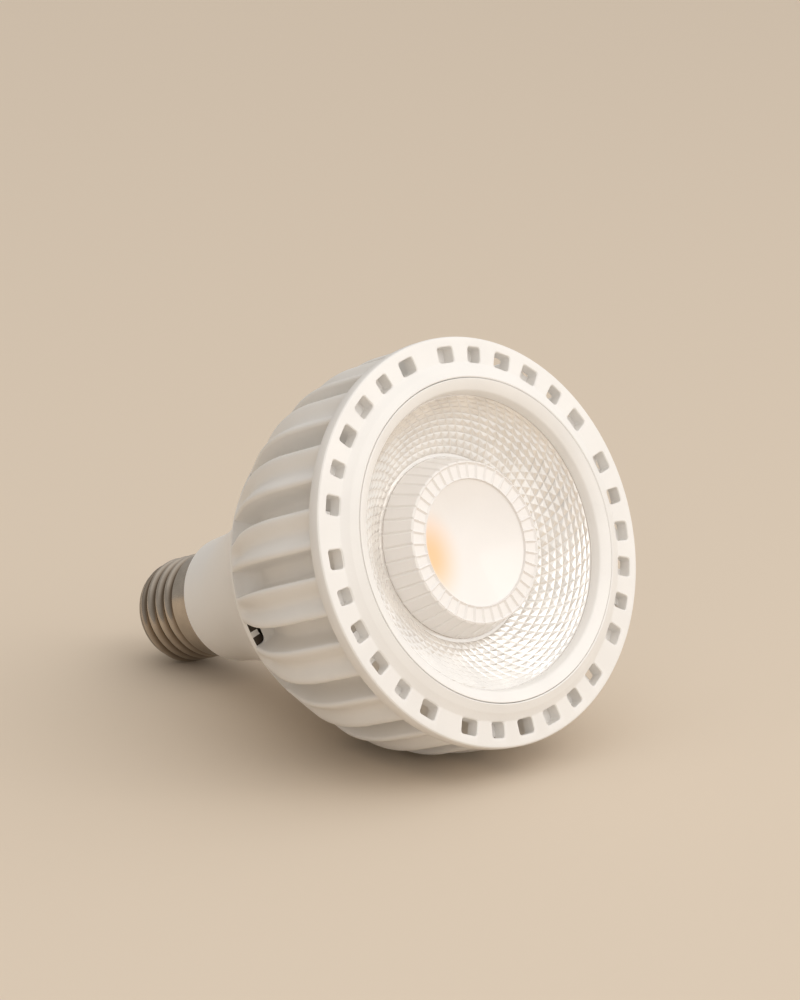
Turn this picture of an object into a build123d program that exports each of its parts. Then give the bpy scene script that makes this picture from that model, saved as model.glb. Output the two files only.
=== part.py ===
from build123d import *
from math import asin, atan2, cos, degrees, hypot, radians, sin, sqrt, tan
import os

# White reflector-type light bulb with a finned cast body and a medium screw cap.
# It lies on its side, on two ribs and the last thread crest, with the lens towards -Y.
# A "run" is a distance along the axis, backwards from the flat front of the rim.

# Front rim and raised collar of the casting
rim_radius = 47.5
rim_thickness = 3.4
rim_bevel = 0.6
collar_foot_radius = 41.4
collar_shoulder_radius = 39.7
collar_shoulder_rise = 1.4
seam_radius = 37.5
collar_rise = 2.3

# Vent holes through the rim, in groups, wide and narrow
vent_groups = 5
vent_pattern = ("wide", "narrow", "wide", "wide", "narrow", "wide")
vent_pitch = 11.2
vent_first_centre = 30.6
vent_circle_radius = 43.3
vent_depth_radially = 3.7
vent_widths = {"wide": 4.5, "narrow": 3.6}

# Lobes of the casting: deep channels between them, a shallow valley along each
lobe_count = 19
lobe_radius_at_rim = 46.9
lobe_corner_run = 28.5
lobe_corner_round = 45.0
lobe_back_run = 47.0
lobe_back_radius = 36.9
channel_width = 6.0
channel_depth = 7.5
channel_end_run = 45.6
channel_cove = 4.0
rib_width = 2.1
valley_depth_at_rim = 2.5
valley_depth_at_back = 1.5

# Inside of the casting
cup_radius = 34.9
led_floor_run = 24.0
led_floor_thickness = 3.0
back_cavity_radius = 33.4
back_mouth_radius = 26.6
side_hole_channel = 4
side_hole_circle_radius = 31.5
side_hole_radius = 2.25
side_hole_lip_radius = 34.3

# Lens ring, optic and gasket
aperture_radius = 34.7
aperture_rise = 1.1
ring_rise = 2.4
optic_front_drop = 1.3
optic_edge_radius = 33.9
optic_flange_radius = 37.2
optic_flange_thickness = 2.0
gasket_thickness = 0.8
gasket_bore = 35.6
bowl_facets = 40
bowl_rows = 6
bowl_depth = 10.5
drum_foot_radius = 21.0
drum_top_radius = 18.6
drum_drop = 2.4
disc_radius = 14.7
disc_sink = 0.5
flute_count = 40
flute_width = 1.0
flute_depth = 0.7
optic_shoulder_radius = 34.6
optic_foot_radius = 12.5
optic_foot_gap = 0.3
light_well_radius = 9.6
light_well_depth = 4.5

# Light source on the casting's floor
pad_thickness = 0.3
led_board_side = 19.0
led_board_thickness = 1.4
dam_radius = 8.6
dam_wall = 0.8
dam_height = 0.7
phosphor_height = 0.5
holder_side = 34.0
holder_corner = 4.0
holder_bore = 9.6
holder_height = 3.6
holder_screw_circle_radius = 17.6
holder_screw_radius = 1.1
holder_screw_head_radius = 2.0
holder_screw_head = 1.2
holder_screw_bite = 2.4
lead_circle_radius = 12.4
lead_hole_radius = 1.6

# Driver housing, the smooth neck
neck_foot_radius = 36.0
neck_foot_length = 1.4
neck_middle_radius = 22.3
neck_middle_run = 70.0
neck_throat_radius = 16.4
neck_throat_run = 87.0
neck_end_radius = 15.6
neck_end_run = 95.5
neck_skin = 2.0
housing_wall = 1.6
housing_radius = 26.5
neck_steps = 5
side_pocket_depth = 7.0
nose_run = 112.0
fit_gap = 0.1
neck_screw_circle_radius = 22.6
neck_screw_angles = (0, 180)
neck_screw_radius = 1.5
neck_screw_head_radius = 2.7
neck_screw_head = 1.6
neck_screw_bite = 8.0
boss_radius = 3.2
boss_floor = 2.0
cover_thickness = 1.4

# Screw cap
skirt_radius = 13.2
skirt_length = 8.9
crest_radius = 13.15
root_radius = 12.25
thread_pitch = 3.63
thread_turns = 4
shell_wall = 0.45
shell_end_radius = 9.6
shell_end_bore = 7.4
shell_taper_length = 2.6
insulator_length = 2.6
insulator_plug = 1.5
contact_radius = 4.8
contact_height = 1.9
contact_flat_radius = 2.8
rivet_radius = 1.4
rivet_length = 5.0

# Driver parts inside the housing
circuit_thickness = 1.6
circuit_width = 27.0
circuit_end_run = 86.0
transformer_run = 52.0
transformer_width = 15.0
transformer_length = 11.0
transformer_height = 12.0
transformer_leg = 2.4
transformer_post = 3.4
coil_overhang = 2.6
output_capacitor_run = 38.0
output_capacitor_offset = 6.0
output_capacitor_radius = 4.0
output_capacitor_height = 12.0
input_capacitor_run = 63.0
input_capacitor_radius = 4.4
input_capacitor_length = 15.0
choke_run = 82.0
choke_radius = 3.4
choke_height = 7.0
rectifier_run = 70.0
rectifier_offset = 8.6
rectifier_width = 4.6
rectifier_length = 6.5
rectifier_height = 2.6
fuse_run = 66.0
fuse_offset = 9.0
fuse_radius = 1.6
fuse_length = 7.0
wire_radius = 0.6
lead_tail = 4.0
cap_wire_offset = 6.0
neutral_wire_reach = 2.0
line_wire_bend = 3.0

# Where the parts fall along the axis
thread_start = neck_end_run + skirt_length
last_crest_run = thread_start + thread_pitch * (thread_turns - 0.5)
thread_end = thread_start + thread_pitch * thread_turns
shell_end_run = thread_end + shell_taper_length
contact_run = shell_end_run + insulator_length
tip_run = contact_run + contact_height
flange_back_run = optic_front_drop + optic_flange_thickness
seat_run = flange_back_run + gasket_thickness
floor_back_run = led_floor_run + led_floor_thickness
led_board_run = led_floor_run - pad_thickness - led_board_thickness
holder_run = led_floor_run - holder_height
optic_foot_run = holder_run - optic_foot_gap
housing_front_run = floor_back_run + cover_thickness
neck_foot_run = lobe_back_run + neck_foot_length
housing_waist_run = (neck_foot_run + neck_middle_run) / 2
circuit_top = -wire_radius

# The curve of the lobes' outline: straight, a wide rounded corner, a straight slope
corner_turn = atan2(lobe_radius_at_rim - lobe_back_radius, lobe_back_run - lobe_corner_run)
corner_centre_run = lobe_corner_run - lobe_corner_round * tan(corner_turn / 2)
corner_centre_radius = lobe_radius_at_rim - lobe_corner_round

# The pose: a line that touches that rounded corner and the last thread crest.
# The two ribs beside the lowest channel carry it, at the channel's edges.
straddle = asin(channel_width / 2 / lobe_radius_at_rim)
corner_centre_height = corner_centre_radius * cos(straddle)
corner_reach = lobe_corner_round * cos(straddle)
reach_along = last_crest_run - corner_centre_run
lean = atan2(corner_centre_height - crest_radius, reach_along)
lean = lean + asin(corner_reach / hypot(reach_along, crest_radius - corner_centre_height))
face_height = (corner_centre_run * sin(lean) + corner_centre_height * cos(lean)
               + sqrt((lobe_corner_round * sin(lean)) ** 2 + (corner_reach * cos(lean)) ** 2))
front_reach = (rim_radius - rim_bevel) * sin(lean)
back_reach = tip_run * cos(lean) + contact_flat_radius * sin(lean)
face_centre = Vector(0, (front_reach - back_reach) / 2, face_height)
forwards = Vector(0, -cos(lean), sin(lean))
upwards = Vector(0, sin(lean), cos(lean))
centre_line = Axis(origin=face_centre, direction=forwards)
section = Plane(origin=face_centre, x_dir=(1, 0, 0), z_dir=-upwards)
deck = Plane(origin=face_centre + upwards * circuit_top, x_dir=(1, 0, 0), z_dir=upwards)


def across(run):
    """Plane square to the axis at this run, its y upwards."""
    return Plane(origin=face_centre - forwards * run, x_dir=(1, 0, 0), z_dir=forwards)


def radial(angle):
    """Plane through the axis at this clock angle: x is the radius, y is forwards."""
    outwards = upwards * cos(radians(angle)) + Vector(1, 0, 0) * sin(radians(angle))
    return Plane(origin=face_centre, x_dir=outwards, z_dir=outwards.cross(forwards))


def clock(angle):
    """Angle in a plane across the axis, for a clock angle from the top."""
    return 90 - angle


def spot(side, height, run):
    """Point beside and above the axis at this run."""
    return face_centre - forwards * run + upwards * height + Vector(side, 0, 0)


def outline(depth, turn):
    """Point of the rounded corner of the lobes' outline, this far below its surface."""
    radius = corner_centre_radius + (lobe_corner_round - depth) * cos(turn)
    run = corner_centre_run + (lobe_corner_round - depth) * sin(turn)
    return radius, -run


def slope_radius(depth, run):
    """Radius on the sloping part of the lobes' outline, this far below its surface."""
    return lobe_back_radius + (lobe_back_run - run) * tan(corner_turn) - depth / cos(corner_turn)


os.makedirs("parts", exist_ok=True)

# Heat sink: one casting with rim, collar, cup, lobes and back ring
channel_angles = [180 + 360 / lobe_count * k for k in range(lobe_count)]
half_pitch = radians(180 / lobe_count)
with BuildPart() as heat_sink:
    with BuildSketch(section):
        with BuildLine():
            Polyline((seam_radius, collar_rise), (collar_shoulder_radius, collar_shoulder_rise),
                     (collar_foot_radius, 0), (rim_radius - rim_bevel, 0), (rim_radius, -rim_bevel),
                     (rim_radius, -rim_thickness), (lobe_radius_at_rim, -rim_thickness),
                     outline(0, 0), outline(0, lean / 2), outline(0, lean),
                     outline(0, corner_turn), (lobe_back_radius, -lobe_back_run),
                     (back_mouth_radius, -lobe_back_run), (back_cavity_radius, -floor_back_run),
                     (0, -floor_back_run), (0, -led_floor_run), (cup_radius, -led_floor_run),
                     (cup_radius, -seat_run), (seam_radius, -seat_run), close=True)
        make_face()
    revolve(axis=centre_line)
    with BuildSketch(*[radial(angle) for angle in channel_angles]):
        with BuildLine():
            Polyline((rim_radius + 1, -rim_thickness),
                     (lobe_radius_at_rim - channel_depth, -rim_thickness),
                     outline(channel_depth, 0), outline(channel_depth, corner_turn / 2),
                     outline(channel_depth, corner_turn),
                     (slope_radius(channel_depth, channel_end_run - channel_cove),
                      channel_cove - channel_end_run),
                     (slope_radius(channel_depth, channel_end_run) + channel_cove * 0.3,
                      channel_cove * 0.3 - channel_end_run),
                     (slope_radius(channel_depth, channel_end_run) + channel_cove,
                      -channel_end_run),
                     (rim_radius + 1, -channel_end_run), close=True)
        make_face()
    extrude(amount=channel_width / 2, both=True, mode=Mode.SUBTRACT)
    corner_end_radius, corner_end = outline(0, corner_turn)
    for run, radius, depth in (
            (rim_thickness, lobe_radius_at_rim, valley_depth_at_rim),
            (corner_centre_run, lobe_radius_at_rim, valley_depth_at_rim),
            (-corner_end, corner_end_radius, (valley_depth_at_rim + valley_depth_at_back) / 2),
            (lobe_back_run + 1, slope_radius(0, lobe_back_run + 1), valley_depth_at_back)):
        half = radius * sin(half_pitch) - channel_width / 2 * cos(half_pitch) - rib_width
        with BuildSketch(across(run)):
            with Locations((0, radius)):
                Rectangle(2 * half, 2 * depth)
    valley = loft(ruled=True, mode=Mode.PRIVATE)
    add([valley.rotate(centre_line, 360 / lobe_count * k) for k in range(lobe_count)],
        mode=Mode.SUBTRACT)
    with BuildSketch(across(0)):
        for group in range(vent_groups):
            for place, kind in enumerate(vent_pattern):
                turn = vent_first_centre + 360 / vent_groups * group + (place - 2.5) * vent_pitch
                with PolarLocations(vent_circle_radius, 1, start_angle=clock(turn)):
                    Rectangle(vent_depth_radially, vent_widths[kind])
    extrude(amount=-rim_thickness, mode=Mode.SUBTRACT)
    side_hole_angle = channel_angles[side_hole_channel]
    with BuildSketch(across(channel_end_run - channel_cove)):
        with PolarLocations(side_hole_circle_radius, 1, start_angle=clock(side_hole_angle)):
            Circle(side_hole_radius)
    extrude(amount=-(lobe_back_run - channel_end_run + channel_cove), mode=Mode.SUBTRACT)
    with BuildSketch(across(channel_end_run)):
        with PolarLocations(side_hole_lip_radius + channel_depth / 2, 1,
                            start_angle=clock(side_hole_angle)):
            Rectangle(channel_depth, channel_width)
    extrude(amount=-(lobe_back_run - channel_end_run), mode=Mode.SUBTRACT)
    with BuildSketch(across(led_floor_run)):
        with PolarLocations(lead_circle_radius, 2):
            Circle(lead_hole_radius)
        with PolarLocations(holder_screw_circle_radius, 2, start_angle=45):
            Circle(holder_screw_radius)
        for angle in neck_screw_angles:
            with PolarLocations(neck_screw_circle_radius, 1, start_angle=clock(angle)):
                Circle(neck_screw_radius)
    extrude(amount=-led_floor_thickness, mode=Mode.SUBTRACT)
heat_sink.part.label = "heat_sink"
export_step(heat_sink.part, "parts/heat_sink.step")

# Lens ring: seated in the collar, clamps the optic's flange
with BuildPart() as lens_ring:
    with BuildSketch(section):
        with BuildLine():
            Polyline((aperture_radius, aperture_rise), (seam_radius - fit_gap, ring_rise),
                     (seam_radius - fit_gap, -optic_front_drop),
                     (optic_edge_radius, -optic_front_drop), close=True)
        make_face()
    revolve(axis=centre_line)
lens_ring.part.label = "lens_ring"
export_step(lens_ring.part, "parts/lens_ring.step")

# Optic: one clear moulding with flange, faceted bowl, fluted drum and foot
valley_wall_radius = drum_foot_radius + 1.0
with BuildPart() as optic:
    with BuildSketch(section):
        with BuildLine():
            Polyline((0, -optic_front_drop), (optic_flange_radius, -optic_front_drop),
                     (optic_flange_radius, -flange_back_run),
                     (optic_shoulder_radius, -flange_back_run),
                     (optic_foot_radius, -optic_foot_run),
                     (light_well_radius, -optic_foot_run),
                     (light_well_radius - 1, light_well_depth - optic_foot_run),
                     (0, light_well_depth - optic_foot_run), close=True)
        make_face()
    revolve(axis=centre_line)
    for row in range(bowl_rows + 1):
        share = row / bowl_rows
        facet_radius = optic_edge_radius - (optic_edge_radius - valley_wall_radius) * share ** 1.4
        with BuildSketch(across(optic_front_drop + (bowl_depth - optic_front_drop) * share)):
            RegularPolygon(facet_radius, bowl_facets)
    loft(ruled=True, mode=Mode.SUBTRACT)
    for run, drum_radius in ((bowl_depth, drum_foot_radius), (drum_drop, drum_top_radius)):
        with BuildSketch(across(run)):
            RegularPolygon(drum_radius, bowl_facets)
    loft(ruled=True)
    with BuildSketch(across(drum_drop)):
        Circle(disc_radius)
    extrude(amount=-disc_sink, mode=Mode.SUBTRACT)
    with BuildSketch(across(drum_drop)):
        with PolarLocations((disc_radius + drum_top_radius) / 2 + 1, flute_count):
            Rectangle(drum_top_radius + 2 - disc_radius, flute_width)
    extrude(amount=-flute_depth, mode=Mode.SUBTRACT)
optic.part.label = "optic"
export_step(optic.part, "parts/optic.step")

# Gasket between the optic's flange and the seat in the casting
with BuildPart() as lens_gasket:
    with BuildSketch(across(seat_run)):
        Circle(optic_flange_radius)
        Circle(gasket_bore, mode=Mode.SUBTRACT)
    extrude(amount=gasket_thickness)
lens_gasket.part.label = "lens_gasket"
export_step(lens_gasket.part, "parts/lens_gasket.step")

# Holder that clamps the light source, with a pocket for its board and slots for the leads
with BuildPart() as led_holder:
    with BuildSketch(across(led_floor_run)) as holder_face:
        Rectangle(holder_side, holder_side)
        chamfer(holder_face.vertices(), holder_corner)
        Circle(holder_bore, mode=Mode.SUBTRACT)
    extrude(amount=holder_height)
    with BuildSketch(across(led_floor_run)):
        Rectangle(led_board_side + 2 * fit_gap, led_board_side + 2 * fit_gap)
        Rectangle(2 * (lead_circle_radius + lead_hole_radius), 2 * lead_hole_radius)
    extrude(amount=led_floor_run - led_board_run, mode=Mode.SUBTRACT)
    with BuildSketch(across(led_floor_run)):
        with PolarLocations(holder_screw_circle_radius, 2, start_angle=45):
            Circle(holder_screw_radius)
    extrude(amount=holder_height, mode=Mode.SUBTRACT)
led_holder.part.label = "led_holder"
export_step(led_holder.part, "parts/led_holder.step")

# Two screws through the holder into the casting's floor
with BuildPart() as holder_screws:
    with BuildSketch(across(holder_run)):
        with PolarLocations(holder_screw_circle_radius, 2, start_angle=45):
            Circle(holder_screw_head_radius)
    extrude(amount=holder_screw_head)
    with BuildSketch(across(holder_run)):
        with PolarLocations(holder_screw_circle_radius, 2, start_angle=45):
            Circle(holder_screw_radius)
    extrude(amount=-holder_height - holder_screw_bite)
holder_screws.part.label = "holder_screws"
export_step(holder_screws.part, "parts/holder_screws.step")

# Board of the light source
with BuildPart() as led_board:
    with BuildSketch(across(led_board_run + led_board_thickness)):
        Rectangle(led_board_side, led_board_side)
    extrude(amount=led_board_thickness)
led_board.part.label = "led_board"
export_step(led_board.part, "parts/led_board.step")

# Dam round the light-emitting surface
with BuildPart() as dam_ring:
    with BuildSketch(across(led_board_run)):
        Circle(dam_radius)
        Circle(dam_radius - dam_wall, mode=Mode.SUBTRACT)
    extrude(amount=dam_height)
dam_ring.part.label = "dam_ring"
export_step(dam_ring.part, "parts/dam_ring.step")

# Light-emitting surface inside the dam
with BuildPart() as phosphor_disc:
    with BuildSketch(across(led_board_run)):
        Circle(dam_radius - dam_wall)
    extrude(amount=phosphor_height)
phosphor_disc.part.label = "phosphor_disc"
export_step(phosphor_disc.part, "parts/phosphor_disc.step")

# Thermal pad between the board and the casting's floor
with BuildPart() as thermal_pad:
    with BuildSketch(across(led_floor_run)):
        Rectangle(led_board_side, led_board_side)
    extrude(amount=pad_thickness)
thermal_pad.part.label = "thermal_pad"
export_step(thermal_pad.part, "parts/thermal_pad.step")

# Driver housing: the smooth neck, its spigot inside the casting and its nose in the cap
nose_radius = root_radius - shell_wall - fit_gap
with BuildPart() as driver_housing:
    with BuildSketch(section):
        with BuildLine():
            flare = ThreePointArc((neck_foot_radius, -neck_foot_run),
                                  (neck_middle_radius, -neck_middle_run),
                                  (neck_throat_radius, -neck_throat_run), mode=Mode.PRIVATE)
            Polyline((housing_radius, -lobe_back_run), (neck_foot_radius, -lobe_back_run),
                     *[flare @ (step / neck_steps) for step in range(neck_steps + 1)],
                     (neck_end_radius, -neck_end_run),
                     (nose_radius, -neck_end_run), (nose_radius, -nose_run),
                     (nose_radius - housing_wall, -nose_run),
                     (nose_radius - housing_wall, -neck_end_run + housing_wall),
                     (neck_throat_radius - neck_skin, -neck_throat_run),
                     (neck_middle_radius - neck_skin, -neck_middle_run),
                     (housing_radius - housing_wall, -housing_waist_run),
                     (housing_radius - housing_wall, -housing_front_run),
                     (housing_radius, -housing_front_run), close=True)
        make_face()
    revolve(axis=centre_line)
    with BuildSketch(across(housing_front_run)):
        for angle in neck_screw_angles:
            with PolarLocations(neck_screw_circle_radius, 1, start_angle=clock(angle)):
                Circle(boss_radius)
    extrude(amount=-neck_screw_bite - boss_floor)
    with BuildSketch(across(housing_front_run)):
        for angle in neck_screw_angles:
            with PolarLocations(neck_screw_circle_radius, 1, start_angle=clock(angle)):
                Circle(neck_screw_radius)
    extrude(amount=-neck_screw_bite, mode=Mode.SUBTRACT)
    with BuildSketch(across(lobe_back_run)):
        with PolarLocations(side_hole_circle_radius, 1, start_angle=clock(side_hole_angle)):
            Circle(side_hole_radius)
    extrude(amount=-side_pocket_depth, mode=Mode.SUBTRACT)
driver_housing.part.label = "driver_housing"
export_step(driver_housing.part, "parts/driver_housing.step")

# Cover over the front of the housing, against the casting's floor
with BuildPart() as housing_cover:
    with BuildSketch(across(housing_front_run)):
        Circle(housing_radius)
        with PolarLocations(lead_circle_radius, 2):
            Circle(lead_hole_radius, mode=Mode.SUBTRACT)
        for angle in neck_screw_angles:
            with PolarLocations(neck_screw_circle_radius, 1, start_angle=clock(angle)):
                Circle(neck_screw_radius, mode=Mode.SUBTRACT)
    extrude(amount=cover_thickness)
housing_cover.part.label = "housing_cover"
export_step(housing_cover.part, "parts/housing_cover.step")

# Two screws through the casting's floor and the cover into the housing's bosses
with BuildPart() as neck_screws:
    with BuildSketch(across(led_floor_run)):
        for angle in neck_screw_angles:
            with PolarLocations(neck_screw_circle_radius, 1, start_angle=clock(angle)):
                Circle(neck_screw_head_radius)
    extrude(amount=neck_screw_head)
    with BuildSketch(across(led_floor_run)):
        for angle in neck_screw_angles:
            with PolarLocations(neck_screw_circle_radius, 1, start_angle=clock(angle)):
                Circle(neck_screw_radius)
    extrude(amount=-led_floor_thickness - cover_thickness - neck_screw_bite)
neck_screws.part.label = "neck_screws"
export_step(neck_screws.part, "parts/neck_screws.step")

# Circuit board of the driver, standing along the axis behind the cover
with BuildPart() as driver_board:
    with BuildSketch(deck):
        with Locations((0, (housing_front_run + circuit_end_run) / 2)):
            Rectangle(circuit_width, circuit_end_run - housing_front_run)
    extrude(amount=-circuit_thickness)
driver_board.part.label = "driver_board"
export_step(driver_board.part, "parts/driver_board.step")

# Transformer core: a frame with two windows and a middle post
window_width = transformer_width / 2 - transformer_leg - transformer_post / 2
window_height = transformer_height - 2 * transformer_leg
with BuildPart() as transformer_core:
    with BuildSketch(across(transformer_run - transformer_length / 2)):
        with Locations((0, circuit_top + transformer_height / 2)):
            Rectangle(transformer_width, transformer_height)
            with Locations((-(transformer_post + window_width) / 2, 0),
                           ((transformer_post + window_width) / 2, 0)):
                Rectangle(window_width, window_height, mode=Mode.SUBTRACT)
    extrude(amount=-transformer_length)
transformer_core.part.label = "transformer_core"
export_step(transformer_core.part, "parts/transformer_core.step")

# Winding round the middle post
with BuildPart() as transformer_coil:
    with BuildSketch(deck.offset(transformer_leg)):
        with Locations((0, transformer_run)):
            Rectangle(transformer_post + 2 * window_width, transformer_length + 2 * coil_overhang)
            Rectangle(transformer_post, transformer_length, mode=Mode.SUBTRACT)
    extrude(amount=window_height)
transformer_coil.part.label = "transformer_coil"
export_step(transformer_coil.part, "parts/transformer_coil.step")

# Output capacitor, standing near the front of the board
with BuildPart() as output_capacitor:
    with BuildSketch(deck):
        with Locations((output_capacitor_offset, output_capacitor_run)):
            Circle(output_capacitor_radius)
    extrude(amount=output_capacitor_height)
output_capacitor.part.label = "output_capacitor"
export_step(output_capacitor.part, "parts/output_capacitor.step")

# Input capacitor, lying along the board
with BuildPart() as input_capacitor:
    with BuildSketch(across(input_capacitor_run)):
        with Locations((0, circuit_top + input_capacitor_radius)):
            Circle(input_capacitor_radius)
    extrude(amount=-input_capacitor_length)
input_capacitor.part.label = "input_capacitor"
export_step(input_capacitor.part, "parts/input_capacitor.step")

# Choke, standing at the back of the board
with BuildPart() as choke_coil:
    with BuildSketch(deck):
        with Locations((0, choke_run)):
            Circle(choke_radius)
    extrude(amount=choke_height)
choke_coil.part.label = "choke_coil"
export_step(choke_coil.part, "parts/choke_coil.step")

# Bridge rectifier
with BuildPart() as rectifier:
    with BuildSketch(deck):
        with Locations((rectifier_offset, rectifier_run)):
            Rectangle(rectifier_width, rectifier_length)
    extrude(amount=rectifier_height)
rectifier.part.label = "rectifier"
export_step(rectifier.part, "parts/rectifier.step")

# Fuse resistor, lying along the board
with BuildPart() as fuse_resistor:
    with BuildSketch(across(fuse_run)):
        with Locations((-fuse_offset, circuit_top + fuse_radius)):
            Circle(fuse_radius)
    extrude(amount=-fuse_length)
fuse_resistor.part.label = "fuse_resistor"
export_step(fuse_resistor.part, "parts/fuse_resistor.step")

# Leads from the driver board through the cover and the floor to the edges of the light source
led_side = led_board_side / 2
led_middle_run = led_board_run + led_board_thickness / 2
lead_start_run = housing_front_run + lead_tail
with BuildPart() as red_lead:
    with BuildLine() as red_path:
        Polyline(spot(lead_circle_radius, 0, lead_start_run), spot(lead_circle_radius, 0, led_middle_run),
                 spot(led_side, 0, led_middle_run))
    with BuildSketch(Plane(origin=red_path.line @ 0, z_dir=red_path.line % 0)):
        Circle(wire_radius)
    sweep(transition=Transition.RIGHT)
red_lead.part.label = "red_lead"
export_step(red_lead.part, "parts/red_lead.step")

with BuildPart() as black_lead:
    with BuildLine() as black_path:
        Polyline(spot(-lead_circle_radius, 0, lead_start_run), spot(-lead_circle_radius, 0, led_middle_run),
                 spot(-led_side, 0, led_middle_run))
    with BuildSketch(Plane(origin=black_path.line @ 0, z_dir=black_path.line % 0)):
        Circle(wire_radius)
    sweep(transition=Transition.RIGHT)
black_lead.part.label = "black_lead"
export_step(black_lead.part, "parts/black_lead.step")

# Wires from the board to the cap: one to the tip contact's rivet, one to the shell
rivet_run = contact_run - rivet_length
shell_bore = root_radius - shell_wall
with BuildPart() as line_wire:
    with BuildLine() as line_path:
        Polyline(spot(-cap_wire_offset, 0, circuit_end_run - lead_tail),
                 spot(-cap_wire_offset, 0, nose_run - lead_tail),
                 spot(0, 0, rivet_run - line_wire_bend), spot(0, 0, rivet_run))
    with BuildSketch(Plane(origin=line_path.line @ 0, z_dir=line_path.line % 0)):
        Circle(wire_radius)
    sweep(transition=Transition.RIGHT)
line_wire.part.label = "line_wire"
export_step(line_wire.part, "parts/line_wire.step")

with BuildPart() as neutral_wire:
    with BuildLine() as neutral_path:
        Polyline(spot(cap_wire_offset, 0, circuit_end_run - lead_tail),
                 spot(cap_wire_offset, 0, nose_run + neutral_wire_reach),
                 spot(shell_bore, 0, nose_run + neutral_wire_reach))
    with BuildSketch(Plane(origin=neutral_path.line @ 0, z_dir=neutral_path.line % 0)):
        Circle(wire_radius)
    sweep(transition=Transition.RIGHT)
neutral_wire.part.label = "neutral_wire"
export_step(neutral_wire.part, "parts/neutral_wire.step")

# Screw shell: plain skirt, rounded thread and a turned-in end
with BuildPart() as screw_shell:
    with BuildSketch(section):
        with BuildLine():
            thread = [(skirt_radius, -neck_end_run), (skirt_radius, -thread_start),
                      (root_radius, -thread_start)]
            for turn in range(thread_turns):
                start = thread_start + turn * thread_pitch
                thread += [(crest_radius, -start - thread_pitch / 2),
                           (root_radius, -start - thread_pitch)]
            Polyline(*thread, (shell_end_radius, -shell_end_run),
                     (shell_end_bore, -shell_end_run), (shell_bore, -thread_end),
                     (shell_bore, -thread_start + shell_wall),
                     (skirt_radius - shell_wall, -thread_start + shell_wall),
                     (skirt_radius - shell_wall, -neck_end_run), close=True)
        make_face()
    revolve(axis=centre_line)
screw_shell.part.label = "screw_shell"
export_step(screw_shell.part, "parts/screw_shell.step")

# Insulator between the shell's end and the tip contact
with BuildPart() as shell_insulator:
    with BuildSketch(section):
        with BuildLine():
            Polyline((rivet_radius, insulator_plug - shell_end_run),
                     (shell_end_bore, insulator_plug - shell_end_run),
                     (shell_end_bore, -shell_end_run),
                     (shell_end_radius - 0.2, -shell_end_run),
                     (contact_radius + 0.4, -contact_run), (rivet_radius, -contact_run),
                     close=True)
        make_face()
    revolve(axis=centre_line)
shell_insulator.part.label = "shell_insulator"
export_step(shell_insulator.part, "parts/shell_insulator.step")

# Tip contact with its rivet through the insulator
with BuildPart() as centre_contact:
    with BuildSketch(section):
        with BuildLine():
            Polyline((0, -rivet_run), (rivet_radius, -rivet_run), (rivet_radius, -contact_run),
                     (contact_radius, -contact_run),
                     (contact_radius, -contact_run - contact_height / 3),
                     (contact_flat_radius, -tip_run), (0, -tip_run), close=True)
        make_face()
    revolve(axis=centre_line)
centre_contact.part.label = "centre_contact"
export_step(centre_contact.part, "parts/centre_contact.step")
print("lean", round(degrees(lean), 3), "face centre", face_centre)
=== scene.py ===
import math

import bpy
from mathutils import Matrix, Vector


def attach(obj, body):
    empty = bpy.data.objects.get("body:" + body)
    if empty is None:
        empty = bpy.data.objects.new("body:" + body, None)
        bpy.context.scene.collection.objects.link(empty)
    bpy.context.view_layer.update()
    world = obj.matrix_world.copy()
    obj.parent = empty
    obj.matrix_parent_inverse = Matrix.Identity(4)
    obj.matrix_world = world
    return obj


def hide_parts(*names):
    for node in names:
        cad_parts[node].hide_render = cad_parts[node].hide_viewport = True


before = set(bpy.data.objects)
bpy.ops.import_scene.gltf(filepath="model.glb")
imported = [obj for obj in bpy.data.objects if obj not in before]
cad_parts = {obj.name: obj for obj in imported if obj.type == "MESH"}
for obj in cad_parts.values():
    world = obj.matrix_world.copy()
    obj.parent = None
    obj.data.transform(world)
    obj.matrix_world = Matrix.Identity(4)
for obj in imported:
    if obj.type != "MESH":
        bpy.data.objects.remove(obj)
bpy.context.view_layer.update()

# Camera, with the long lens and the height of the photograph.
# It stands in front of the lens and to its left, and looks a little down.
camera_data = bpy.data.cameras.new("camera")
camera_data.sensor_fit = "VERTICAL"
camera_data.sensor_height = 36
camera_data.lens = 129.6
camera = bpy.data.objects.new("camera", camera_data)
bpy.context.scene.collection.objects.link(camera)
camera.location = (-0.5424, -0.6290, 0.2661)
camera.rotation_euler = (math.radians(75.56), 0, math.radians(-41.84))
bpy.context.scene.camera = camera
bpy.context.scene.view_settings.view_transform = "Standard"

# Floor: a plain sheet of pale cloth, wide enough to fill the picture up to its top edge.
# It is matt, and takes the soft shadow of the bulb.
bpy.ops.object.select_all(action="DESELECT")
bpy.ops.mesh.primitive_plane_add(size=6, location=(0, 0, 0))
floor = bpy.context.active_object
floor.name = "floor"
floor_paint = bpy.data.materials.new("floor_paint")
floor_paint.use_nodes = True
floor_shader = floor_paint.node_tree.nodes["Principled BSDF"]
floor_shader.inputs["Base Color"].default_value = (0.675, 0.575, 0.462, 1)
floor_shader.inputs["Roughness"].default_value = 0.9
floor_shader.inputs["Specular IOR Level"].default_value = 0.1
floor.data.materials.append(floor_paint)

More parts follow.
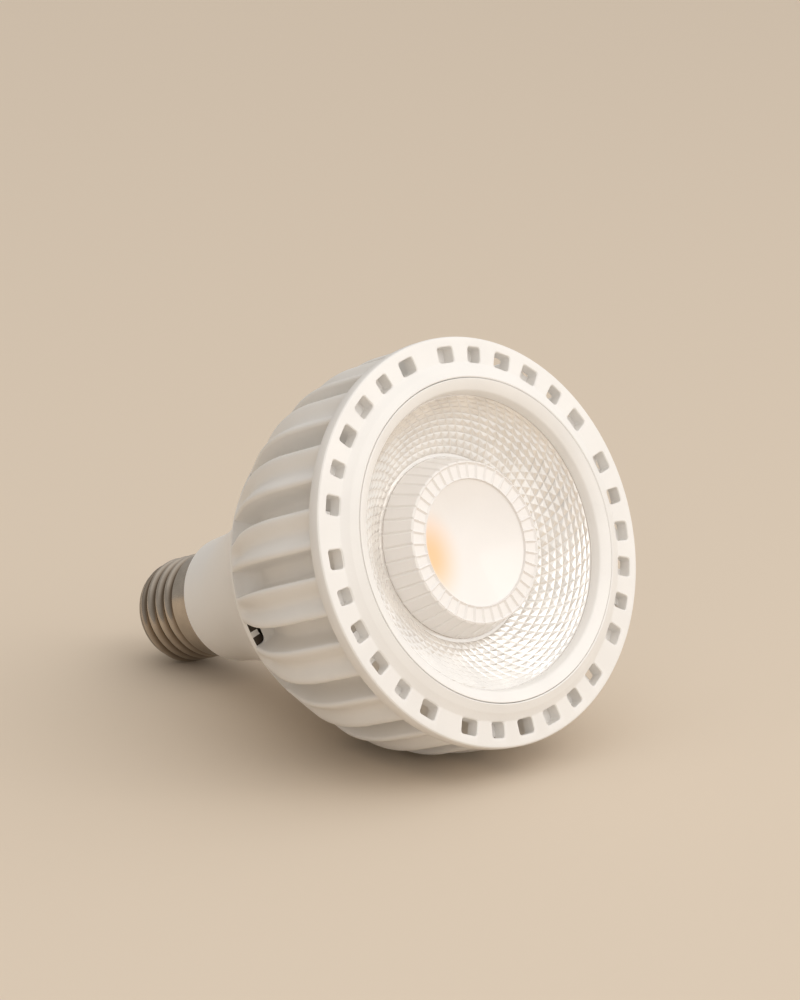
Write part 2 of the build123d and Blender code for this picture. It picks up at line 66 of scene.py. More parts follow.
# Light: a wide softbox above and to the right of the camera, and a weaker one on its left.
# The room round them is pale overhead and towards the front right, and dimmer elsewhere.
lit_point = Vector((0, 0, 0.04))
key_data = bpy.data.lights.new("key_softbox", "AREA")
key_data.shape = "RECTANGLE"
key_data.size = 1.5
key_data.size_y = 1.1
key_data.energy = 7
key_data.color = (1, 0.975, 0.95)
key = bpy.data.objects.new("key_softbox", key_data)
bpy.context.scene.collection.objects.link(key)
key.location = (0.3, -1.25, 1.15)
key.rotation_euler = (lit_point - key.location).to_track_quat("-Z", "Y").to_euler()
fill_data = bpy.data.lights.new("fill_softbox", "AREA")
fill_data.size = 1.0
fill_data.energy = 2
fill_data.color = (1, 0.95, 0.9)
fill = bpy.data.objects.new("fill_softbox", fill_data)
bpy.context.scene.collection.objects.link(fill)
fill.location = (-0.9, -1.0, 0.42)
fill.rotation_euler = (lit_point - fill.location).to_track_quat("-Z", "Y").to_euler()
surround = bpy.data.worlds.new("surround")
bpy.context.scene.world = surround
surround.use_nodes = True
room = surround.node_tree
sky = room.nodes.new("ShaderNodeTexCoord")
brightness = room.nodes.new("ShaderNodeVectorMath")
brightness.operation = "DOT_PRODUCT"
brightness.inputs[1].default_value = (0.42, -0.42, 0.80)
room.links.new(sky.outputs["Generated"], brightness.inputs[0])
walls = room.nodes.new("ShaderNodeValToRGB")
walls.color_ramp.elements[0].position = 0.05
walls.color_ramp.elements[0].color = (0.40, 0.38, 0.355, 1)
walls.color_ramp.elements[1].position = 0.75
walls.color_ramp.elements[1].color = (1, 0.975, 0.95, 1)
room.links.new(brightness.outputs["Value"], walls.inputs["Fac"])
room.links.new(walls.outputs["Color"], room.nodes["Background"].inputs["Color"])
room.nodes["Background"].inputs["Strength"].default_value = 1.08

# Heat sink: one die-cast aluminium body under satin white paint.
# Its skirt is a turned blank that is drawn in to nineteen scooped lobes between deep channels
# with coved ends. The rim is turned as well, punched with thirty vents and joined to the skirt.
face_centre = Vector((0, -0.0516053, 0.0525776))
lean = math.radians(20.086)
lobe_count = 19
half_pitch = math.pi / lobe_count
lobe_radius = 0.0469
lobe_corner_run = 0.01711
lobe_corner_round = 0.0450
lobe_slope_run = 0.0385
lobe_back_radius = 0.0369
lobe_slope = math.tan(math.radians(28.4))
back_edge_round = 0.0009
skirt_top = 0.00339
rim_back = 0.0034
casting_back = 0.0470
collar_radius = 0.0375
cup_radius = 0.0349
cup_ledge = -0.0041
cup_floor = -0.0240
cup_underside = -0.0270
back_socket_radius = 0.0334
back_socket_mouth_radius = 0.0266
skirt_rows = 20
cove_rows = 9
back_rows = 5
channel_half = 0.0030
channel_depth = 0.0075
channel_end = 0.0456
cove_length = 0.0072
rib_edge_round = 0.0009
rib_edge_share = 0.11
wall_swell = 0.5
floor_swell = 0.6
scoop_at_rim = 0.0024
scoop_at_back = 0.0015
open_channel = 4
open_channel_notch = 0.0038
open_channel_cove = 0.0014
scoop_run_out = 0.0060
scoop_end = casting_back - 0.0005
wall_steps = 8
edge_steps = 4
scoop_steps = 6
half_lobe = wall_steps + edge_steps + scoop_steps
columns = 2 * half_lobe * lobe_count
vent_groups = 5
vent_pattern = ("wide", "narrow", "wide", "wide", "narrow", "wide")
vent_widths = {"wide": 0.0045, "narrow": 0.0036}
vent_height = 0.0037
vent_depth = 0.0037
vent_middle = -0.00205
vent_corner_round = 0.0007
vent_flare = 1.12
vent_flare_depth = 0.00025
vent_circle_radius = 0.0433
vent_pitch = math.radians(11.2)
vent_first_centre = math.radians(30.6)
side_hole_radius = 0.00225
side_hole_circle_radius = 0.0315
side_hole_angle = math.pi + 2 * half_pitch * open_channel
side_hole_x = side_hole_circle_radius * math.sin(side_hole_angle)
side_hole_y = side_hole_circle_radius * math.cos(side_hole_angle)


def apply_modifier(piece, kind, **settings):
    """Adds one modifier to a piece and applies it."""
    bpy.ops.object.select_all(action="DESELECT")
    piece.select_set(True)
    bpy.context.view_layer.objects.active = piece
    modifier = piece.modifiers.new(kind.lower(), kind)
    for setting, value in settings.items():
        setattr(modifier, setting, value)
    bpy.ops.object.modifier_apply(modifier=modifier.name)


def turned(name, profile, around, edge_round=0.0, smooth_angle=30):
    """A turned piece: its half section is drawn point by point and spun round the axis."""
    bpy.ops.object.select_all(action="DESELECT")
    bpy.ops.mesh.primitive_plane_add(size=0.001, location=(0, 0, 0))
    piece = bpy.context.active_object
    piece.name = name
    bpy.ops.object.mode_set(mode="EDIT")
    bpy.ops.mesh.select_mode(type="VERT")
    bpy.ops.mesh.select_all(action="SELECT")
    bpy.ops.mesh.merge(type="CENTER")
    bpy.ops.transform.translate(value=(profile[0][0], 0, profile[0][1]))
    for (radius, height), (next_radius, next_height) in zip(profile, profile[1:]):
        step = (next_radius - radius, 0, next_height - height)
        bpy.ops.mesh.extrude_vertices_move(TRANSFORM_OT_translate={"value": step})
    bpy.ops.mesh.select_all(action="SELECT")
    bpy.ops.mesh.spin(steps=around, angle=2 * math.pi, center=(0, 0, 0), axis=(0, 0, 1))
    bpy.ops.mesh.select_all(action="SELECT")
    bpy.ops.mesh.remove_doubles(threshold=0.000004)
    bpy.ops.mesh.normals_make_consistent(inside=False)
    bpy.ops.object.mode_set(mode="OBJECT")
    if edge_round:
        apply_modifier(piece, "BEVEL", width=edge_round, segments=3, limit_method="ANGLE",
                       angle_limit=math.radians(24))
    bpy.ops.object.shade_smooth_by_angle(angle=math.radians(smooth_angle))
    return piece


def lay_down(piece):
    """Turns a piece made upright, lens up, to the lean of the lying bulb."""
    bpy.ops.object.select_all(action="DESELECT")
    piece.select_set(True)
    bpy.context.view_layer.objects.active = piece
    piece.rotation_euler = (math.pi / 2 - lean, 0, 0)
    piece.location = face_centre
    bpy.ops.object.transform_apply(location=True, rotation=True, scale=True)


def select_faces(piece, chosen):
    """Selects, in edit mode, the faces whose centre and normal pass the test."""
    bpy.ops.object.mode_set(mode="EDIT")
    bpy.ops.mesh.select_mode(type="FACE")
    bpy.ops.mesh.select_all(action="DESELECT")
    bpy.ops.object.mode_set(mode="OBJECT")
    for face in piece.data.polygons:
        face.select = chosen(face.center, face.normal)
    bpy.ops.object.mode_set(mode="EDIT")


def finish(name, colour, roughness, metallic=0.0, mottling=0.05, patches=60, grain=1400, relief=0.1):
    """A surface finish whose colour and gloss vary softly, under a fine grain."""
    paint = bpy.data.materials.new(name)
    paint.use_nodes = True
    nodes = paint.node_tree.nodes
    links = paint.node_tree.links
    shader = nodes["Principled BSDF"]
    shader.inputs["Metallic"].default_value = metallic
    place = nodes.new("ShaderNodeTexCoord")
    upright = nodes.new("ShaderNodeMapping")
    upright.vector_type = "TEXTURE"
    upright.inputs["Location"].default_value = face_centre
    upright.inputs["Rotation"].default_value = (math.pi / 2 - lean, 0, 0)
    links.new(place.outputs["Object"], upright.inputs["Vector"])
    cloud = nodes.new("ShaderNodeTexNoise")
    cloud.inputs["Scale"].default_value = patches
    cloud.inputs["Detail"].default_value = 4
    links.new(upright.outputs["Vector"], cloud.inputs["Vector"])
    shades = nodes.new("ShaderNodeValToRGB")
    shades.color_ramp.elements[0].position = 0.3
    shades.color_ramp.elements[0].color = [part * (1 - mottling) for part in colour] + [1]
    shades.color_ramp.elements[1].position = 0.7
    shades.color_ramp.elements[1].color = list(colour) + [1]
    links.new(cloud.outputs["Fac"], shades.inputs["Fac"])
    links.new(shades.outputs["Color"], shader.inputs["Base Color"])
    gloss = nodes.new("ShaderNodeMapRange")
    gloss.inputs["To Min"].default_value = roughness * 0.85
    gloss.inputs["To Max"].default_value = min(1, roughness * 1.15)
    links.new(cloud.outputs["Fac"], gloss.inputs["Value"])
    links.new(gloss.outputs["Result"], shader.inputs["Roughness"])
    specks = nodes.new("ShaderNodeTexNoise")
    specks.inputs["Scale"].default_value = grain
    specks.inputs["Detail"].default_value = 2
    links.new(upright.outputs["Vector"], specks.inputs["Vector"])
    relief_node = nodes.new("ShaderNodeBump")
    relief_node.inputs["Strength"].default_value = relief
    relief_node.inputs["Distance"].default_value = 0.0002
    links.new(specks.outputs["Fac"], relief_node.inputs["Height"])
    links.new(relief_node.outputs["Normal"], shader.inputs["Normal"])
    return paint


def fit_piece(piece, paint, slot, *nodes):
    """Gives a finished piece its paint and body, and hides the solids that it stands for; its slot is not
    used.
    """
    piece.data.materials.clear()
    piece.data.materials.append(paint)
    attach(piece, "root")
    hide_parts(*nodes)


def skirt_radius_at(run):
    """Radius of the lobes' outline, this far behind the rim's front."""
    radius = lobe_radius
    if run > lobe_corner_run:
        sweep = lobe_corner_round ** 2 - (run - lobe_corner_run) ** 2
        radius = lobe_radius - lobe_corner_round + math.sqrt(sweep)
    if run > lobe_slope_run:
        radius = lobe_back_radius + (casting_back - run) * lobe_slope
    into_edge = run - (casting_back - back_edge_round)
    if into_edge > 0:
        radius -= back_edge_round - math.sqrt(max(0, back_edge_round ** 2 - into_edge ** 2))
    return radius


def channel_depth_at(run, channel):
    """Depth of a channel below the outline: full, then a cove up to its end."""
    is_open = channel % lobe_count == open_channel
    cove = open_channel_cove if is_open else cove_length
    into_cove = max(0, (run - (channel_end - cove)) / cove)
    depth = channel_depth * math.sqrt(max(0, 1 - into_cove ** 2))
    if is_open:
        depth = max(depth, open_channel_notch)
    return depth


cove_start = channel_end - cove_length
skirt_runs = [skirt_top + (cove_start - skirt_top) * row / skirt_rows for row in range(skirt_rows + 1)]
skirt_runs += [cove_start + cove_length * math.sin(math.pi / 2 * row / cove_rows)
               for row in range(1, cove_rows + 1)]
skirt_runs += [channel_end + (casting_back - channel_end) * row / back_rows
               for row in range(1, back_rows + 1)]
blank = [(0, cup_floor), (cup_radius, cup_floor), (cup_radius, cup_ledge), (collar_radius, cup_ledge),
         (collar_radius, -skirt_top)]
blank += [(skirt_radius_at(run), -run) for run in skirt_runs]
blank += [(back_socket_mouth_radius, -casting_back), (back_socket_radius, cup_underside),
          (0, cup_underside)]
casting = turned("heat_sink_casting", blank, columns)
for corner in casting.data.vertices:
    run = -corner.co.z
    radius = math.hypot(corner.co.x, corner.co.y)
    outline = skirt_radius_at(run)
    if run < skirt_top - 0.000001 or abs(radius - outline) > 0.000002:
        continue
    column = round((math.atan2(corner.co.x, corner.co.y) - math.pi) / (2 * math.pi / columns))
    channel = round(column / (2 * half_lobe))
    offset = column - channel * 2 * half_lobe
    place = abs(offset)
    depth = channel_depth_at(run, channel)
    if place <= wall_steps:
        climb = math.pi / 2 * place / wall_steps
        aside = channel_half * math.sin(climb) ** wall_swell
        floor_share = max(0, math.cos(climb)) ** floor_swell
        drop = depth * (rib_edge_share + (1 - rib_edge_share) * floor_share)
        swing = math.asin(aside / (outline - drop))
    elif place <= wall_steps + edge_steps:
        climb = math.pi / 2 * (place - wall_steps) / edge_steps
        aside = channel_half + rib_edge_round * (1 - math.cos(climb))
        drop = depth * rib_edge_share * (1 - math.sin(climb))
        swing = math.asin(aside / (outline - drop))
    else:
        across = (place - wall_steps - edge_steps) / scoop_steps
        first_swing = math.asin((channel_half + rib_edge_round) / outline)
        swing = first_swing + (half_pitch - first_swing) * across
        scoop = scoop_at_rim + (scoop_at_back - scoop_at_rim) * run / casting_back
        from_back = min(1, max(0, (scoop_end - run) / scoop_run_out))
        scoop *= math.sin(math.pi / 2 * from_back)
        drop = scoop * math.sin(math.pi / 2 * across) ** 2
    turn = math.pi + channel * 2 * half_pitch + math.copysign(swing, offset)
    corner.co.x = (outline - drop) * math.sin(turn)
    corner.co.y = (outline - drop) * math.cos(turn)

punches = []
for kind, width in vent_widths.items():
    bpy.ops.object.select_all(action="DESELECT")
    bpy.ops.mesh.primitive_cube_add(size=1, location=(0, vent_circle_radius, vent_middle),
                                    scale=(width, vent_height, vent_depth))
    punch = bpy.context.active_object
    bpy.ops.object.transform_apply(location=True, rotation=True, scale=True)
    bpy.ops.object.mode_set(mode="EDIT")
    bpy.ops.mesh.select_mode(type="EDGE")
    bpy.ops.mesh.select_all(action="DESELECT")
    bpy.ops.object.mode_set(mode="OBJECT")
    for edge in punch.data.edges:
        low, high = (punch.data.vertices[index].co for index in edge.vertices)
        edge.select = (low - high).xy.length < 0.00001
    bpy.ops.object.mode_set(mode="EDIT")
    bpy.ops.mesh.bevel(offset=vent_corner_round, segments=4)
    select_faces(punch, lambda centre, normal: normal.z > 0.9)
    bpy.ops.mesh.extrude_region_move(TRANSFORM_OT_translate={"value": (0, 0, vent_flare_depth)})
    bpy.ops.transform.resize(value=(vent_flare, vent_flare, 1),
                             center_override=(0, vent_circle_radius, 0))
    bpy.ops.mesh.extrude_region_move(TRANSFORM_OT_translate={"value": (0, 0, 0.002)})
    bpy.ops.object.mode_set(mode="OBJECT")
    for group in range(vent_groups):
        for place, wanted in enumerate(vent_pattern):
            if wanted == kind:
                turn = vent_first_centre + 2 * math.pi / vent_groups * group + (place - 2.5) * vent_pitch
                copied = punch.copy()
                copied.data = punch.data.copy()
                copied.data.transform(Matrix.Rotation(-turn, 4, "Z"))
                bpy.context.scene.collection.objects.link(copied)
                punches.append(copied)
    bpy.data.objects.remove(punch)
bpy.ops.object.select_all(action="DESELECT")
for punch in punches:
    punch.select_set(True)
bpy.context.view_layer.objects.active = punches[0]
bpy.ops.object.join()
rim_section = [(collar_radius, -rim_back), (collar_radius, 0.0019), (0.03757, 0.00215),
               (0.0378, 0.00228), (0.0395, 0.00146), (0.0398, 0.00132), (0.0412, 0.00012),
               (0.0416, 0), (0.0467, 0), (0.04715, -0.00012), (0.0474, -0.00038),
               (0.0475, -0.0008), (0.0475, -0.0030), (0.04738, -0.0033), (0.0471, -rim_back),
               (collar_radius, -rim_back)]
rim = turned("heat_sink_rim", rim_section, 240)
apply_modifier(rim, "BOOLEAN", operation="DIFFERENCE", object=punches[0], solver="EXACT")
bpy.data.objects.remove(punches[0])
bpy.ops.object.shade_smooth_by_angle(angle=math.radians(38))
bpy.ops.object.select_all(action="DESELECT")
bpy.ops.mesh.primitive_cylinder_add(vertices=40, radius=side_hole_radius, depth=0.009,
                                    location=(side_hole_x, side_hole_y, -0.0440))
drill = bpy.context.active_object
apply_modifier(casting, "BOOLEAN", operation="DIFFERENCE", object=drill, solver="FAST")
bpy.data.objects.remove(drill)
bpy.ops.object.mode_set(mode="EDIT")
bpy.ops.mesh.select_all(action="SELECT")
bpy.ops.mesh.remove_doubles(threshold=0.000002)
bpy.ops.object.mode_set(mode="OBJECT")
bpy.ops.object.shade_smooth_by_angle(angle=math.radians(42))
rim.select_set(True)
bpy.ops.object.join()
lay_down(casting)
casting_paint = finish("casting_paint", (0.86, 0.84, 0.81), 0.42)
fit_piece(casting, casting_paint, "white_casting", "heat_sink")

# Lens ring: a separate white ring that clamps the lens in the collar.
# It is turned to a shallow cone with rounded edges, and leaves a thin dark seam round it.
ring_outer = 0.0374
ring_inner = 0.0347
ring_foot_inner = 0.0339
ring_back = -0.0013
ring_section = [(ring_inner, 0.0011), (ring_outer, 0.0024), (ring_outer, ring_back),
                (ring_foot_inner, ring_back), (ring_inner, 0.0011)]
lens_ring = turned("lens_retaining_ring", ring_section, 192, edge_round=0.00035)
lay_down(lens_ring)
ring_paint = finish("ring_paint", (0.87, 0.85, 0.82), 0.36, patches=90)
fit_piece(lens_ring, ring_paint, "white_ring", "lens_ring")

# Optic: one clear plastic moulding held by the ring.
# Its bowl is moulded with small pointed facets on a spiral. In the middle, over the light
# source, stands a drum with barred walls, a fluted rim and a dished frosted disc.
facets_around = 72
facet_rows = 10
facet_twist = 0.4 * 2 * math.pi / facets_around
facet_gap = 0.00026
facet_height = 0.00012
facet_point = 0.00022
bowl_edge_radius = 0.0339
bowl_foot_radius = 0.0220
bowl_top = -0.0013
bowl_floor = -0.0105
drum_foot_radius = 0.0210
drum_rim_radius = 0.0186
drum_rim = -0.0024
disc_radius = 0.0147
disc_face = -0.0029
disc_dish = 0.0024
flutes = 40
flute_gap = 0.00042
flute_depth = 0.0004
bar_height = 0.0003
# Painted glow: the middle and size of an amber patch painted on the frosted disc.
painted_glow_centre = (-0.0135, -0.0008, disc_face)
painted_glow_radius = 0.0120


def placed_vector(tree, operation, other):
    """A vector node worked on the upright place of the point that is shaded."""
    node = tree.nodes.new("ShaderNodeVectorMath")
    node.operation = operation
    node.inputs[1].default_value = other
    tree.links.new(tree.nodes["Mapping"].outputs["Vector"], node.inputs[0])
    return node


def share_between(tree, value, start, end, top=1.0, interpolation="LINEAR"):
    """A share that is nothing at the start, and reaches the top at the end."""
    node = tree.nodes.new("ShaderNodeMapRange")
    node.interpolation_type = interpolation
    node.inputs["From Min"].default_value = start
    node.inputs["From Max"].default_value = end
    node.inputs["To Max"].default_value = top
    tree.links.new(value, node.inputs["Value"])
    return node.outputs["Result"]


def tint(tree, colour, operation, first_share, second_share):
    """Lays a colour over a finish, by two shares put together."""
    both = tree.nodes.new("ShaderNodeMath")
    both.operation = operation
    tree.links.new(first_share, both.inputs[0])
    tree.links.new(second_share, both.inputs[1])
    mixed = tree.nodes.new("ShaderNodeMix")
    mixed.data_type = "RGBA"
    mixed.inputs["B"].default_value = colour
    colour_socket = tree.nodes["Principled BSDF"].inputs["Base Color"]
    tree.links.new(colour_socket.links[0].from_socket, mixed.inputs["A"])
    tree.links.new(both.outputs["Value"], mixed.inputs["Factor"])
    tree.links.new(mixed.outputs["Result"], colour_socket)


bowl_section = [(0, bowl_floor), (bowl_foot_radius, bowl_floor)]
for row in range(1, facet_rows + 1):
    share = 1 - row / facet_rows
    bowl_section.append((bowl_edge_radius - (bowl_edge_radius - bowl_foot_radius) * share ** 1.4,
                         bowl_top + (bowl_floor - bowl_top) * share))
bowl_section += [(0.0372, bowl_top), (0.0372, -0.0033), (0.0346, -0.0033), (0.0125, -0.0201),
                 (0.0096, -0.0201), (0.0086, -0.0156), (0, -0.0156)]
optic = turned("clear_optic_moulding", bowl_section, facets_around)
for row in range(facet_rows):
    row_radius = bowl_section[row + 1][0] + 0.00005
    bpy.ops.object.mode_set(mode="EDIT")
    bpy.ops.mesh.select_mode(type="VERT")
    bpy.ops.mesh.select_all(action="DESELECT")
    bpy.ops.object.mode_set(mode="OBJECT")
    for corner in optic.data.vertices:
        on_front = bowl_floor - 0.0001 < corner.co.z < bowl_top + 0.0001
        corner.select = on_front and math.hypot(corner.co.x, corner.co.y) < row_radius
    bpy.ops.object.mode_set(mode="EDIT")
    bpy.ops.transform.rotate(value=facet_twist, orient_axis="Z", center_override=(0, 0, 0))
    bpy.ops.object.mode_set(mode="OBJECT")
select_faces(optic, lambda centre, normal: normal.z > 0.2
             and bowl_foot_radius < math.hypot(centre.x, centre.y) < bowl_edge_radius - 0.0002)
bpy.ops.mesh.inset(thickness=facet_gap, depth=facet_height, use_individual=True)
bpy.ops.mesh.poke(offset=facet_point)
bpy.ops.object.mode_set(mode="OBJECT")
bpy.ops.object.shade_flat()
optic_plastic = finish("optic_plastic", (0.92, 0.89, 0.85), 0.1, metallic=0.5, mottling=0.12,
                       patches=160, relief=0.02)
optic.data.materials.append(optic_plastic)

drum_section = [(0, disc_face - disc_dish)]
drum_section += [(disc_radius * share, disc_face - disc_dish * (1 - share ** 2))
                 for share in (0.3, 0.55, 0.8, 1)]
drum_section += [(disc_radius + 0.0002, drum_rim), (drum_rim_radius, drum_rim),
                 (drum_foot_radius, bowl_floor), (drum_foot_radius, bowl_floor - 0.0003),
                 (0, bowl_floor - 0.0003)]
drum = turned("optic_drum", drum_section, flutes)
select_faces(drum, lambda centre, normal: normal.z > 0.9
             and disc_radius + 0.0004 < math.hypot(centre.x, centre.y))
bpy.ops.mesh.inset(thickness=flute_gap, depth=-flute_depth, use_individual=True)
select_faces(drum, lambda centre, normal: abs(normal.z) < 0.5 and centre.z < drum_rim
             and math.hypot(centre.x, centre.y) > drum_rim_radius)
bpy.ops.mesh.inset(thickness=flute_gap, depth=bar_height, use_individual=True)
bpy.ops.object.mode_set(mode="OBJECT")
bpy.ops.object.shade_smooth_by_angle(angle=math.radians(8))
frosted_plastic = finish("frosted_plastic", (0.88, 0.85, 0.82), 0.3, mottling=0.03, grain=900,
                         relief=0.12)
frosting = frosted_plastic.node_tree
frosting.nodes["Principled BSDF"].inputs["Coat Weight"].default_value = 0.35
# Painted glow: the disc's colour turns amber near its left edge, standing in for the phosphor's colour
# refracted through the disc.
from_painted_glow = placed_vector(frosting, "DISTANCE", painted_glow_centre).outputs["Value"]
painted_glow_share = share_between(frosting, from_painted_glow, painted_glow_radius, 0.001, interpolation="SMOOTHSTEP")
from_disc_middle = placed_vector(frosting, "DISTANCE", (0, 0, disc_face)).outputs["Value"]
disc_share = share_between(frosting, from_disc_middle, disc_radius + 0.0002, disc_radius - 0.0008, top=0.95)
tint(frosting, (1.0, 0.60, 0.32, 1), "MULTIPLY", painted_glow_share, disc_share)
drum.data.materials.append(frosted_plastic)
bpy.ops.object.select_all(action="DESELECT")
drum.select_set(True)
optic.select_set(True)
bpy.context.view_layer.objects.active = optic
bpy.ops.object.join()
lay_down(optic)
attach(optic, "root")
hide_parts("optic")

# Driver housing: the smooth white plastic neck, one moulding with its spigot and nose.
# It flares from the screw cap up to the back of the casting, where it is screwed on, and has
# a pocket behind the casting's side hole, whose inside is coloured dark as painted shade.
neck_foot_radius = 0.0360
neck_foot = (neck_foot_radius, -0.0484)
spigot_radius = 0.0265
spigot_top = -0.0284
spigot_bore = 0.0249
nose_radius = 0.0117
nose_bore = 0.0101
nose_end = -0.1120
neck_end = -0.0955
neck_middle = (0.0223, -0.0700)
neck_throat = (0.0164, -0.0870)
flare_steps = 24


def arc_through(first, second, third, steps):
    """Points along the round curve through three points of a half section."""
    (ax, ay), (bx, by), (cx, cy) = first, second, third
    scale = 2 * (ax * (by - cy) + bx * (cy - ay) + cx * (ay - by))
    a2 = ax * ax + ay * ay
    b2 = bx * bx + by * by
    c2 = cx * cx + cy * cy
    centre_x = (a2 * (by - cy) + b2 * (cy - ay) + c2 * (ay - by)) / scale
    centre_y = (a2 * (cx - bx) + b2 * (ax - cx) + c2 * (bx - ax)) / scale
    radius = math.hypot(ax - centre_x, ay - centre_y)
    start = math.atan2(ay - centre_y, ax - centre_x)
    end = math.atan2(cy - centre_y, cx - centre_x)
    if end - start > math.pi:
        end -= 2 * math.pi
    if start - end > math.pi:
        end += 2 * math.pi
    return [(centre_x + radius * math.cos(start + (end - start) * step / steps),
             centre_y + radius * math.sin(start + (end - start) * step / steps))
            for step in range(steps + 1)]


neck_section = [(spigot_radius, -casting_back), (neck_foot_radius, -casting_back)]
neck_section += arc_through(neck_foot, neck_middle, neck_throat, flare_steps)
neck_section += [(0.0156, neck_end), (nose_radius, neck_end), (nose_radius, nose_end),
                 (nose_bore, nose_end), (nose_bore, -0.0939), (0.0144, -0.0870), (0.0203, -0.0700),
                 (spigot_bore, -0.0592), (spigot_bore, spigot_top), (spigot_radius, spigot_top),
                 (spigot_radius, -casting_back)]
neck = turned("driver_housing_neck", neck_section, 160)
bpy.ops.object.select_all(action="DESELECT")
bpy.ops.mesh.primitive_cylinder_add(vertices=32, radius=side_hole_radius, depth=0.005,
                                    location=(side_hole_x, side_hole_y, -casting_back))
drill = bpy.context.active_object
apply_modifier(neck, "BOOLEAN", operation="DIFFERENCE", object=drill, solver="EXACT")
bpy.data.objects.remove(drill)
apply_modifier(neck, "BEVEL", width=0.0003, segments=3, limit_method="ANGLE",
               angle_limit=math.radians(30))
bpy.ops.object.shade_smooth_by_angle(angle=math.radians(30))
lay_down(neck)
neck_plastic = finish("neck_plastic", (0.87, 0.85, 0.82), 0.33, mottling=0.02, relief=0.04)
fit_piece(neck, neck_plastic, "white_neck", "driver_housing")
# Painted shade: the pocket's faces are coloured near black, standing in for the shade deep in the hole.
pocket_painted_shade = finish("pocket_painted_shade", (0.06, 0.04, 0.025), 0.6, mottling=0.3, patches=500)
neck.data.materials.append(pocket_painted_shade)
laying_turn = Matrix.Rotation(math.pi / 2 - lean, 3, "X")
pocket_middle = face_centre + laying_turn @ Vector((side_hole_x, side_hole_y, -0.0482))
pocket_reach = side_hole_radius + 0.0008
for face in neck.data.polygons:
    if (face.center - pocket_middle).length < pocket_reach:
        face.material_index = 1

# Screw shell: thin nickel-plated brass, rolled to a rounded right-handed thread.
# It is pushed over the neck's nose against the neck's end, and its grooves are darkened with painted shade.
skirt_radius = 0.0132
skirt_bore = 0.01275
thread_bore = 0.0118
crest_radius = 0.01315
root_radius = 0.01225
thread_pitch = 0.00363
thread_start = -0.1044
thread_end = -0.11892
bottom_crest = -0.117105
thread_rows = 64
shell_columns = 128
run_out = 0.0016

shell_section = [(skirt_radius, neck_end), (skirt_radius, thread_start + 0.0004)]
for row in range(thread_rows + 1):
    shell_section.append((root_radius, thread_start + (thread_end - thread_start) * row / thread_rows))
shell_section += [(0.01205, -0.1197), (0.0115, -0.1205), (0.0107, -0.12115), (0.0096, -0.12152),
                  (0.0074, -0.12152), (thread_bore, thread_end), (thread_bore, -0.10395),
                  (skirt_bore, -0.10395), (skirt_bore, neck_end), (skirt_radius, neck_end)]
shell = turned("screw_shell_cap", shell_section, shell_columns, smooth_angle=50)
for corner in shell.data.vertices:
    along = corner.co.z
    radius = math.hypot(corner.co.x, corner.co.y)
    if thread_end < along < thread_start and abs(radius - root_radius) < 0.00001:
        turn = math.atan2(corner.co.y, corner.co.x) + math.pi / 2
        wave = 0.5 + 0.5 * math.cos(2 * math.pi * (along - bottom_crest) / thread_pitch - turn)
        fade = min(1, (along - thread_end) / run_out)
        reach = root_radius + (crest_radius - root_radius) * wave * fade
        corner.co.x *= reach / radius
        corner.co.y *= reach / radius
lay_down(shell)
nickel = finish("nickel_plate", (0.56, 0.50, 0.43), 0.2, metallic=1.0, mottling=0.2, patches=240,
                relief=0.03)
plating = nickel.node_tree
across_axis = placed_vector(plating, "MULTIPLY", (1, 1, 0))
from_axis = plating.nodes.new("ShaderNodeVectorMath")
from_axis.operation = "LENGTH"
plating.links.new(across_axis.outputs["Vector"], from_axis.inputs[0])
radius_socket = from_axis.outputs["Value"]
# Painted shade: between crest and root the thread is coloured dark brown, darker the deeper it lies.
groove_painted_shade = share_between(plating, radius_socket, crest_radius - 0.0001, root_radius)
thread_share = share_between(plating, radius_socket, root_radius - 0.0005, root_radius - 0.0001)
tint(plating, (0.17, 0.125, 0.085, 1), "MINIMUM", groove_painted_shade, thread_share)
fit_piece(shell, nickel, "nickel", "screw_shell")

# Insulator: a ring of black moulded plastic between the shell's end and the tip.
# It is pressed in and keeps the two contacts apart.
rivet_radius = 0.0014
insulator_top = -0.12002
insulator_end = -0.12412
insulator_section = [(rivet_radius, insulator_top), (0.0074, insulator_top), (0.0074, -0.12152),
                     (0.0094, -0.12152), (0.0052, insulator_end), (rivet_radius, insulator_end),
                     (rivet_radius, insulator_top)]
insulator = turned("cap_insulator", insulator_section, 96, edge_round=0.0003)
lay_down(insulator)
black_plastic = finish("black_plastic", (0.02, 0.019, 0.018), 0.28, relief=0.06)
fit_piece(insulator, black_plastic, "black_insulator", "shell_insulator")

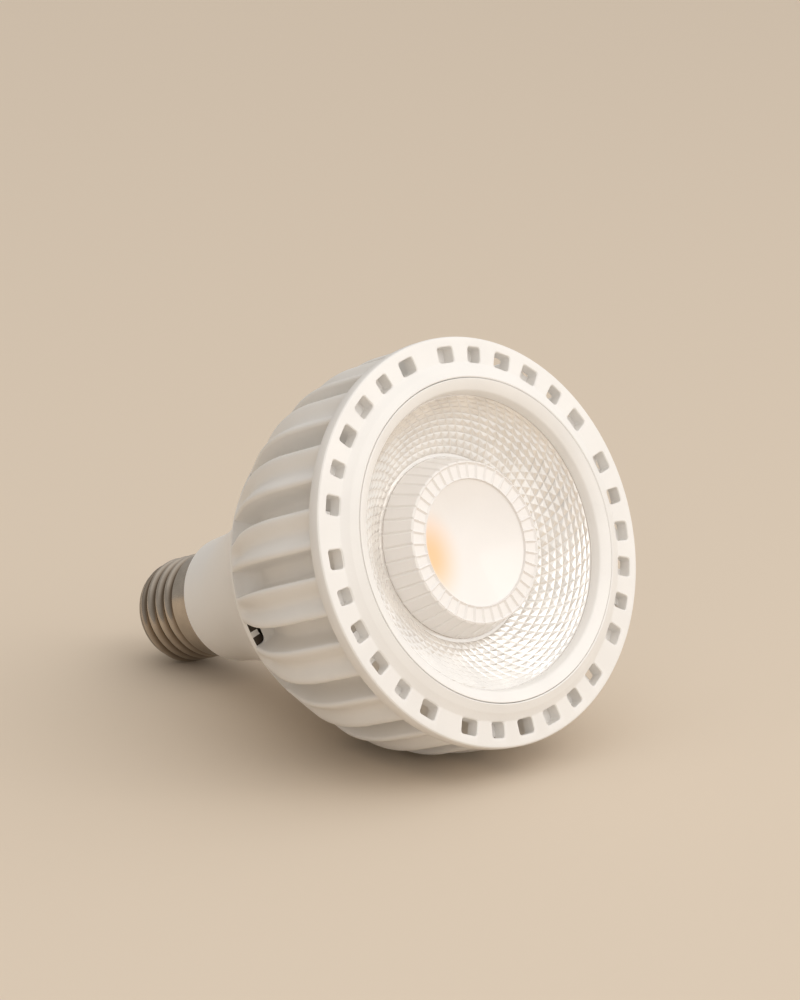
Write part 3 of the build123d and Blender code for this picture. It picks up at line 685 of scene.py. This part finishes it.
# Tip contact: a brass button on a rivet, in the middle of the insulator.
# The feed wire is soldered to it from inside.
button_radius = 0.0048
rivet_top = -0.11912
tip_end = -0.12602
contact_section = [(0, rivet_top), (rivet_radius, rivet_top), (rivet_radius, insulator_end),
                   (button_radius, insulator_end), (button_radius, -0.12475), (0.0028, tip_end),
                   (0, tip_end)]
contact = turned("tip_contact_button", contact_section, 64, edge_round=0.0003)
lay_down(contact)
brass = finish("brass_tip", (0.72, 0.52, 0.26), 0.3, metallic=1.0, mottling=0.25, patches=300)
fit_piece(contact, brass, "tip_brass", "centre_contact")

# Light source, driver and wires: bought-in parts behind the lens and in the neck.
# Each keeps its own solid, and gets the finish of what it is made of.
inner_finishes = {
    "gasket_rubber": (("lens_gasket",), (0.35, 0.35, 0.34), 0.7, 0.0),
    "holder_plastic": (("led_holder",), (0.82, 0.80, 0.76), 0.4, 0.0),
    "screw_steel": (("holder_screws", "neck_screws"), (0.6, 0.6, 0.6), 0.3, 1.0),
    "board_metal": (("led_board",), (0.80, 0.80, 0.80), 0.3, 0.8),
    "dam_silicone": (("dam_ring",), (0.85, 0.84, 0.80), 0.5, 0.0),
    "phosphor": (("phosphor_disc",), (0.93, 0.66, 0.16), 0.5, 0.0),
    "pad_grey": (("thermal_pad",), (0.45, 0.46, 0.48), 0.8, 0.0),
    "cover_plastic": (("housing_cover",), (0.80, 0.79, 0.76), 0.45, 0.0),
    "circuit_laminate": (("driver_board",), (0.10, 0.28, 0.12), 0.4, 0.0),
    "ferrite": (("transformer_core",), (0.06, 0.06, 0.065), 0.6, 0.0),
    "winding_tape": (("transformer_coil",), (0.78, 0.60, 0.12), 0.35, 0.0),
    "capacitor_sleeve": (("output_capacitor", "input_capacitor"), (0.03, 0.05, 0.12), 0.35, 0.0),
    "choke_sleeve": (("choke_coil",), (0.05, 0.05, 0.05), 0.4, 0.0),
    "component_black": (("rectifier",), (0.03, 0.03, 0.03), 0.45, 0.0),
    "fuse_green": (("fuse_resistor",), (0.10, 0.30, 0.16), 0.5, 0.0),
    "red_insulation": (("red_lead",), (0.60, 0.05, 0.04), 0.4, 0.0),
    "black_insulation": (("black_lead", "line_wire"), (0.03, 0.03, 0.03), 0.4, 0.0),
    "white_insulation": (("neutral_wire",), (0.82, 0.81, 0.78), 0.4, 0.0),
}
for slot_name, (node_names, colour, roughness, metallic) in inner_finishes.items():
    inner_paint = finish(slot_name + "_finish", colour, roughness, metallic=metallic, patches=400)
    for node_name in node_names:
        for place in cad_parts[node_name].material_slots:
            place.material = inner_paint
